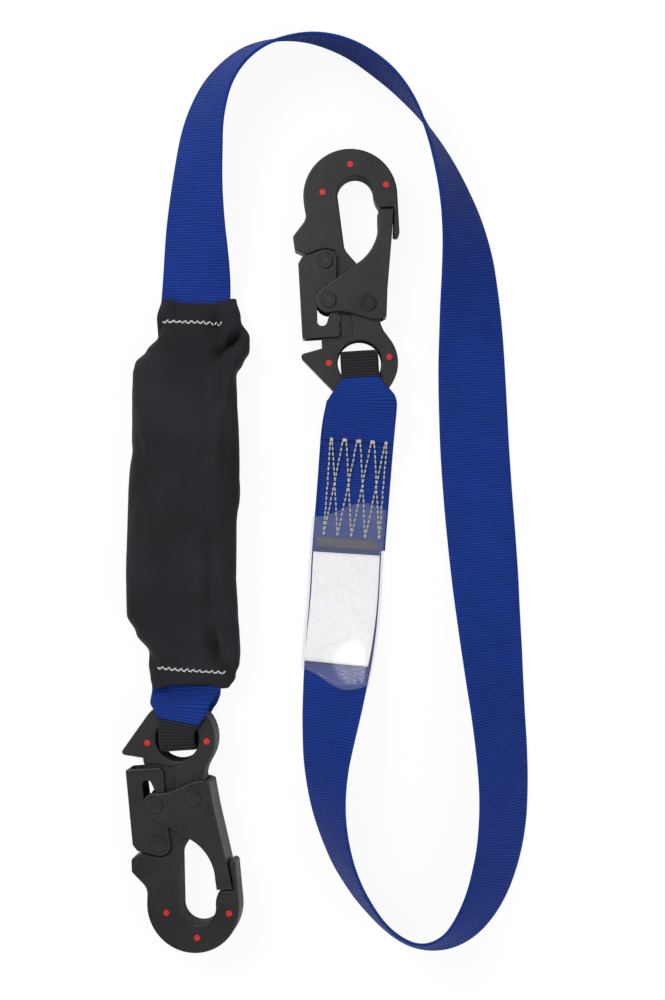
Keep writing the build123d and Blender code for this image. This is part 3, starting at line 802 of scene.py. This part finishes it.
def pack_mesh():
    """The cover as rings along the pack, creased on its face."""
    mesh = bmesh.new()
    rings = []
    count = 124
    top, low = PACK_SHAPE[0][0], PACK_SHAPE[-1][0]
    for i in range(count + 1):
        y = top + (low - top) * i / count
        left, right, height = pack_profile(y)
        ring = []
        for j in range(PACK_RING):
            angle = 2 * math.pi * j / PACK_RING
            power = 0.55
            cosine, sine = math.cos(angle), math.sin(angle)
            side = math.copysign(abs(cosine) ** power, cosine)
            up = math.copysign(abs(sine) ** power, sine)
            x = (left + right) / 2 + (right - left) / 2 * side
            z = 0.0003 + height / 2 * (1 + up)
            if sine > 0:
                z -= sum(fold(x, y, *crease) for crease in CREASES) * min(1.0, sine * 2.5)
                z += 0.0011 * noise.noise(Vector((x * 45, y * 30, 1.0))) * sine
            z = max(z, 0.0003)
            back = max(0.0, sine) * eased(0.85 - abs(side), 0.0, 0.45)
            step = MOUTH_NOTCH * back * (eased(y, 0.106, top) - eased(-y, 0.108, -low))
            ring.append(mesh.verts.new((x, y - step, z)))
        rings.append(ring)
    for first, second in zip(rings, rings[1:]):
        for j in range(PACK_RING):
            k = (j + 1) % PACK_RING
            mesh.faces.new((first[j], second[j], second[k], first[k]))
    for ring, inward in ((rings[0], -1), (rings[-1], 1)):
        shrink = ring
        for scale, depth in ((0.92, 0.0004), (0.86, 0.004), (0.80, 0.010)):
            middle = sum((vertex.co for vertex in ring), Vector()) / len(ring)
            inner = []
            for vertex in ring:
                spot = middle + (vertex.co - middle) * scale
                inner.append(mesh.verts.new((spot.x, middle.y + inward * depth, max(0.0012, spot.z))))
            for j in range(PACK_RING):
                k = (j + 1) % PACK_RING
                mesh.faces.new((shrink[j], shrink[k], inner[k], inner[j]))
            shrink = inner
        mesh.faces.new(shrink)
    bmesh.ops.recalc_face_normals(mesh, faces=mesh.faces)
    return mesh


def settle_cloth(obj, frames=14, pressure=3.0, limit=0.0013):
    """Let the cover swell and crease as cloth, no point moving further than the limit."""
    rest = [vertex.co.copy() for vertex in obj.data.vertices]
    cloth = obj.modifiers.new("cloth", "CLOTH")
    cloth.settings.use_pressure = True
    cloth.settings.uniform_pressure_force = pressure
    cloth.settings.effector_weights.gravity = 0.0
    cloth.settings.quality = 6
    cloth.settings.tension_stiffness = 25
    cloth.settings.compression_stiffness = 25
    cloth.settings.bending_stiffness = 0.4
    cloth.settings.shrink_min = -0.03
    scene = bpy.context.scene
    for step in range(1, frames + 1):
        scene.frame_set(step)
    evaluated = obj.evaluated_get(bpy.context.evaluated_depsgraph_get())
    moved = [vertex.co.copy() for vertex in evaluated.data.vertices]
    obj.modifiers.remove(cloth)
    scene.frame_set(1)
    for vertex, before, after in zip(obj.data.vertices, rest, moved):
        step = after - before
        if step.length > limit:
            step = step.normalized() * limit
        spot = before + step
        vertex.co = (spot.x, spot.y, max(0.0003, spot.z))


pack_cover = piece("pack_cover_cloth", pack_mesh(), COVER_CLOTH)
settle_cloth(pack_cover)
bpy.context.view_layer.objects.active = pack_cover
fine = pack_cover.modifiers.new("fine", "SUBSURF")
fine.levels = fine.render_levels = 1
bpy.ops.object.modifier_apply(modifier="fine")
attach(pack_cover, "lanyard")
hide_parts("pack_cover", "tear_web", "backup_web")


# ---- white bartacks across the cover's two ends ----
def pack_surface(x, y):
    """Where a straight line down meets the cover."""
    hit, spot, normal, _ = pack_cover.ray_cast(Vector((x, y, 0.1)), Vector((0, 0, -1)))
    return (spot, normal) if hit else (Vector((x, y, 0.01)), UP)


def bartack_spots(start, end, count):
    """A dense row of short slanting stitches on the cover."""
    spots = []
    line = Vector(end) - Vector(start)
    for i in range(count):
        middle = Vector(start) + line * (i + 0.5) / count
        across = 0.0004 if i % 2 else -0.0004
        spot, normal = pack_surface(middle.x, middle.y + across + random.uniform(-0.0002, 0.0002))
        slant = 0.55 if i % 2 else -0.45
        along = Vector((1.0, slant, 0.0)).normalized()
        along = (along - normal * along.dot(normal)).normalized()
        spots.append((spot + normal * 0.0003, along, normal))
    return spots


tack = stitch_shape(0.0026, 0.0005)
top_spots = bartack_spots((-0.0132, 0.1118), (0.0250, 0.1104), 20)
top_tack = sew("top_bartack", tack, top_spots, WHITE_THREAD, "lanyard")
low_spots = bartack_spots((-0.0158, -0.1090), (0.0272, -0.1122), 22)
low_tack = sew("low_bartack", tack, low_spots, WHITE_THREAD, "lanyard")

# ---- finishes on what the CAD model gives ----
for hook in (1, 2):
    for node, finish in NODE_FINISHES.items():
        paint(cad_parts[f"hook_{hook}_{node}"], finish)


# ---------------------------------------------------------------------------
# Table, light and camera
# ---------------------------------------------------------------------------
def white_stage():
    """A white table that shows soft shadows and is white to the camera."""
    bpy.ops.object.select_all(action="DESELECT")
    bpy.ops.mesh.primitive_plane_add(size=8.0, location=(0.0, 0.0, -0.0002))
    bpy.ops.object.transform_apply(location=True)
    table = bpy.context.object
    table.name = "table_top"
    material = bpy.data.materials.new("white_table")
    material.use_nodes = True
    nodes, links = material.node_tree.nodes, material.node_tree.links
    matt = nodes["Principled BSDF"]
    matt.inputs["Base Color"].default_value = (0.9, 0.9, 0.9, 1)
    matt.inputs["Roughness"].default_value = 0.9
    glow = nodes.new("ShaderNodeEmission")
    glow.inputs["Color"].default_value = (1, 1, 1, 1)
    glow.inputs["Strength"].default_value = 1.0
    path = nodes.new("ShaderNodeLightPath")
    share = nodes.new("ShaderNodeMath")
    share.operation = "MULTIPLY"
    share.inputs[1].default_value = 0.93
    links.new(path.outputs["Is Camera Ray"], share.inputs[0])
    mix = nodes.new("ShaderNodeMixShader")
    links.new(share.outputs[0], mix.inputs["Fac"])
    links.new(matt.outputs[0], mix.inputs[1])
    links.new(glow.outputs[0], mix.inputs[2])
    links.new(mix.outputs[0], nodes["Material Output"].inputs["Surface"])
    table.data.materials.append(material)


def plain_world():
    """Soft grey light from all round, and white where the camera sees it."""
    world = bpy.data.worlds.new("white_room")
    bpy.context.scene.world = world
    world.use_nodes = True
    nodes, links = world.node_tree.nodes, world.node_tree.links
    soft = nodes["Background"]
    soft.inputs["Color"].default_value = (1, 1, 1, 1)
    soft.inputs["Strength"].default_value = 0.28
    white = nodes.new("ShaderNodeBackground")
    white.inputs["Color"].default_value = (1, 1, 1, 1)
    white.inputs["Strength"].default_value = 1.0
    path = nodes.new("ShaderNodeLightPath")
    mix = nodes.new("ShaderNodeMixShader")
    links.new(path.outputs["Is Camera Ray"], mix.inputs["Fac"])
    links.new(soft.outputs[0], mix.inputs[1])
    links.new(white.outputs[0], mix.inputs[2])
    links.new(mix.outputs[0], nodes["World Output"].inputs["Surface"])


def lamp(name, place, size, power):
    """A square soft lamp that looks at the middle of the lanyard."""
    data = bpy.data.lights.new(name, "AREA")
    data.size = size
    data.energy = power
    obj = bpy.data.objects.new(name, data)
    bpy.context.collection.objects.link(obj)
    obj.location = place
    obj.rotation_euler = (LAMP_AIM - Vector(place)).to_track_quat("-Z", "Y").to_euler()


LAMP_AIM = Vector((0.09, 0.0, 0.0))
CAMERA_SPOT = (0.0954, -0.00225, 0.900)
FLOOR_HEIGHT_SEEN = 0.650


def overhead_camera():
    """A camera that looks straight down and sees a set height of the table."""
    data = bpy.data.cameras.new("overhead")
    data.sensor_fit = "VERTICAL"
    data.angle_y = 2 * math.atan(FLOOR_HEIGHT_SEEN / 2 / CAMERA_SPOT[2])
    data.clip_start = 0.01
    camera = bpy.data.objects.new("overhead", data)
    bpy.context.collection.objects.link(camera)
    camera.location = CAMERA_SPOT
    bpy.context.scene.camera = camera


white_stage()
plain_world()
lamp("key", (-0.7, 0.8, 1.3), 0.7, 24.0)
lamp("fill", (1.0, -0.5, 1.2), 1.0, 8.0)
lamp("edge", (0.1, -1.2, 0.7), 0.8, 4.0)
overhead_camera()
bpy.context.scene.view_settings.view_transform = "Standard"
